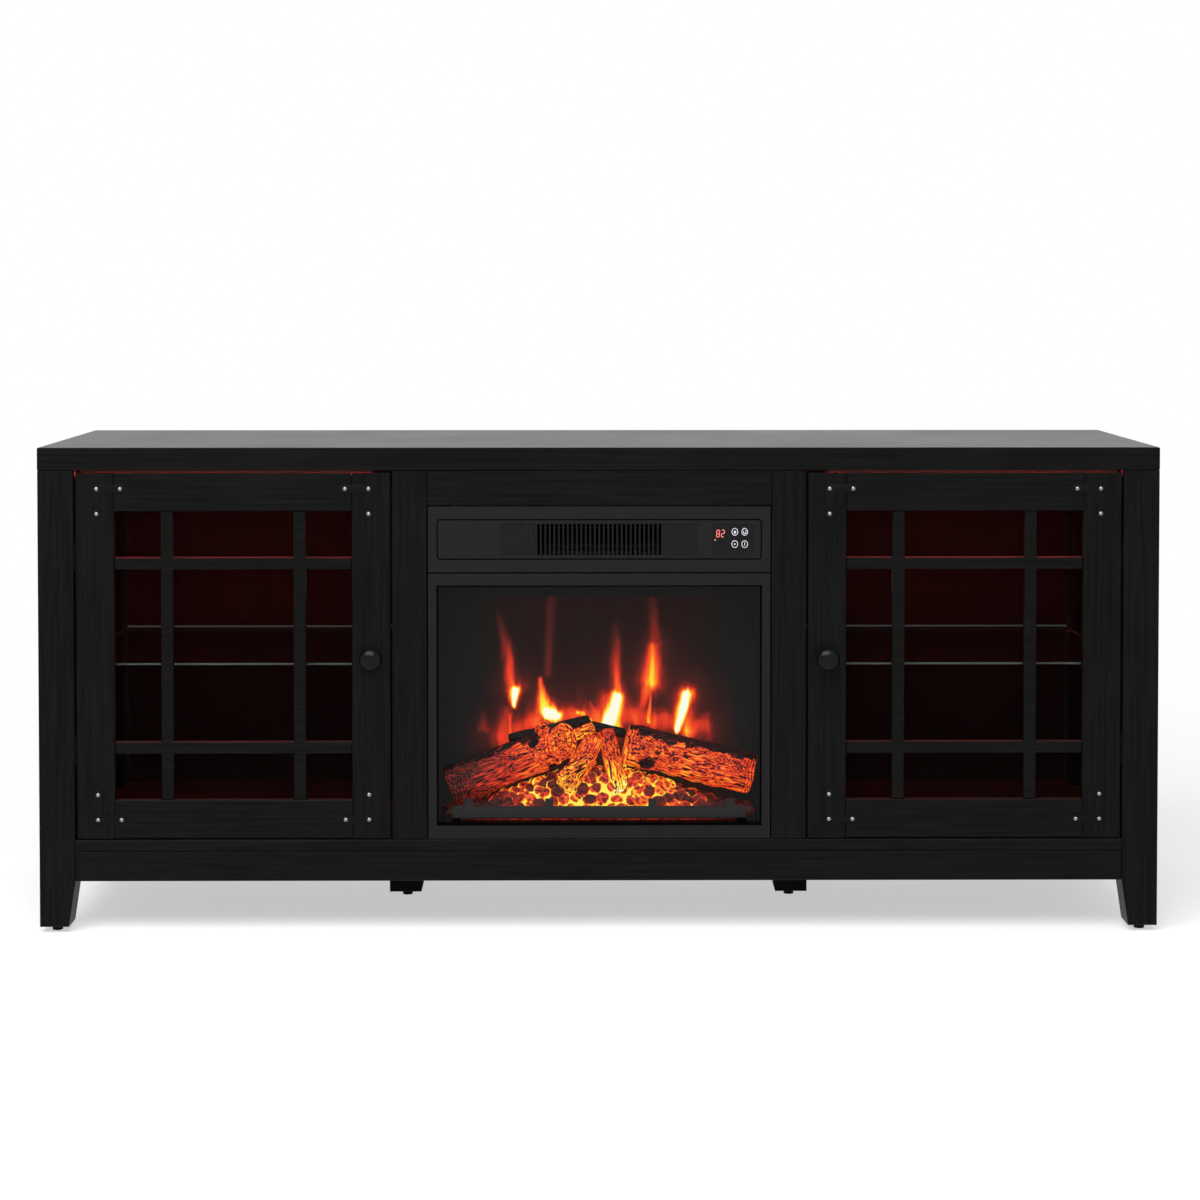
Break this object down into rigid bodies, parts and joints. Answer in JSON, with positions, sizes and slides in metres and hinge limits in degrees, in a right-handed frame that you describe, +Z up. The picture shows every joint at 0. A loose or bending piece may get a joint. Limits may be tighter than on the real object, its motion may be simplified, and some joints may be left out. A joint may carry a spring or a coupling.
{
  "type": "fireplace media cabinet",
  "caption": "Low media cabinet with an electric fireplace insert between glazed, muntin-barred doors on concealed hinges, glass shelves behind them and tapered legs.",
  "frame": {"origin": "on the floor, under the middle of the box round the whole cabinet with its doors shut", "axes": "+Z up, +X to the right as one faces the doors, the doors face -Y"},
  "size_m": [1.473, 0.424, 0.64],
  "materials": {
    "black_wood": "satin black over an open grain",
    "black_board": "black faced board",
    "shelf_glass": "clear tempered glass with a ground edge",
    "light_diffuser": "frosted diffuser",
    "door_glass": "clear glass before a dark inside",
    "knob_black": "gloss black",
    "nickel": "nickel plated",
    "galvanised": "galvanised sheet",
    "trim_grey": "satin dark grey powder coat",
    "control_gloss": "gloss black overlay",
    "fire_glass": "clear tempered glass",
    "flame_film": "translucent lit sheet",
    "grate_black": "satin dark grey",
    "log_resin": "moulded resin logs, lit from inside",
    "ember_resin": "moulded translucent embers",
    "bright_foil": "polished flippers on a steel shaft",
    "blower_black": "black paint"
  },
  "bodies": {
    "cabinet": {"top_panel": "black_wood", "left_side_panel": "black_wood", "right_side_panel": "black_wood", "left_front_leg": "black_wood", "right_front_leg": "black_wood", "left_rear_leg": "black_wood", "right_rear_leg": "black_wood", "bottom_panel": "black_wood", "front_apron": "black_wood", "left_divider": "black_wood", "right_divider": "black_wood", "left_center_stile": "black_wood", "right_center_stile": "black_wood", "header_rail": "black_wood", "left_back_panel": "black_board", "right_back_panel": "black_board", "left_center_foot": "black_wood", "right_center_foot": "black_wood", "left_glass_shelf": "shelf_glass", "right_glass_shelf": "shelf_glass", "left_light_strip": "light_diffuser", "right_light_strip": "light_diffuser", "left_upper_hinge_arm": "nickel", "left_lower_hinge_arm": "nickel", "right_upper_hinge_arm": "nickel", "right_lower_hinge_arm": "nickel", "insert_shell": "galvanised", "insert_back_plate": "galvanised", "vent_fascia": "trim_grey", "control_panel": "control_gloss", "glass_frame": "trim_grey", "front_glass": "fire_glass", "flame_screen": "flame_film", "grate_bar": "grate_black", "log_set": "log_resin", "ember_bed": "ember_resin"},
    "left_hinge_links": {"left_upper_hinge_link": "nickel", "left_lower_hinge_link": "nickel"},
    "left_door": {"left_door_hinge_stile": "black_wood", "left_door_latch_stile": "black_wood", "left_door_top_rail": "black_wood", "left_door_bottom_rail": "black_wood", "left_door_muntins": "black_wood", "left_door_glass": "door_glass", "left_door_knob": "knob_black", "left_upper_hinge_cup": "nickel", "left_lower_hinge_cup": "nickel"},
    "right_hinge_links": {"right_upper_hinge_link": "nickel", "right_lower_hinge_link": "nickel"},
    "right_door": {"right_door_hinge_stile": "black_wood", "right_door_latch_stile": "black_wood", "right_door_top_rail": "black_wood", "right_door_bottom_rail": "black_wood", "right_door_muntins": "black_wood", "right_door_glass": "door_glass", "right_door_knob": "knob_black", "right_upper_hinge_cup": "nickel", "right_lower_hinge_cup": "nickel"},
    "flicker_drive": {"flicker_spindle": "bright_foil"},
    "blower": {"blower_wheel": "blower_black"}
  },
  "joints": [
    {"name": "left_link_turn", "type": "hinge", "parent": "cabinet", "child": "left_hinge_links", "pos_m": [-0.6571, -0.174, 0.366], "axis": [0, 0, 1], "range_deg": [0, 55]},
    {"name": "left_door_turn", "type": "hinge", "parent": "left_hinge_links", "child": "left_door", "pos_m": [-0.6773, -0.1782, 0.366], "axis": [0, 0, -1], "range_deg": [0, 155]},
    {"name": "right_link_turn", "type": "hinge", "parent": "cabinet", "child": "right_hinge_links", "pos_m": [0.6571, -0.174, 0.366], "axis": [0, 0, -1], "range_deg": [0, 55]},
    {"name": "right_door_turn", "type": "hinge", "parent": "right_hinge_links", "child": "right_door", "pos_m": [0.6773, -0.1782, 0.366], "axis": [0, 0, 1], "range_deg": [0, 155]},
    {"name": "flicker_turn", "type": "hinge", "parent": "cabinet", "child": "flicker_drive", "pos_m": [0, -0.068, 0.1828], "axis": [1, 0, 0], "continuous": true},
    {"name": "blower_turn", "type": "hinge", "parent": "cabinet", "child": "blower", "pos_m": [0, -0.11, 0.5183], "axis": [1, 0, 0], "continuous": true}
  ],
  "couplings": [
    {"joint": "left_link_turn", "follows": "left_door_turn", "ratio": 0.35484},
    {"joint": "right_link_turn", "follows": "right_door_turn", "ratio": 0.35484}
  ]
}
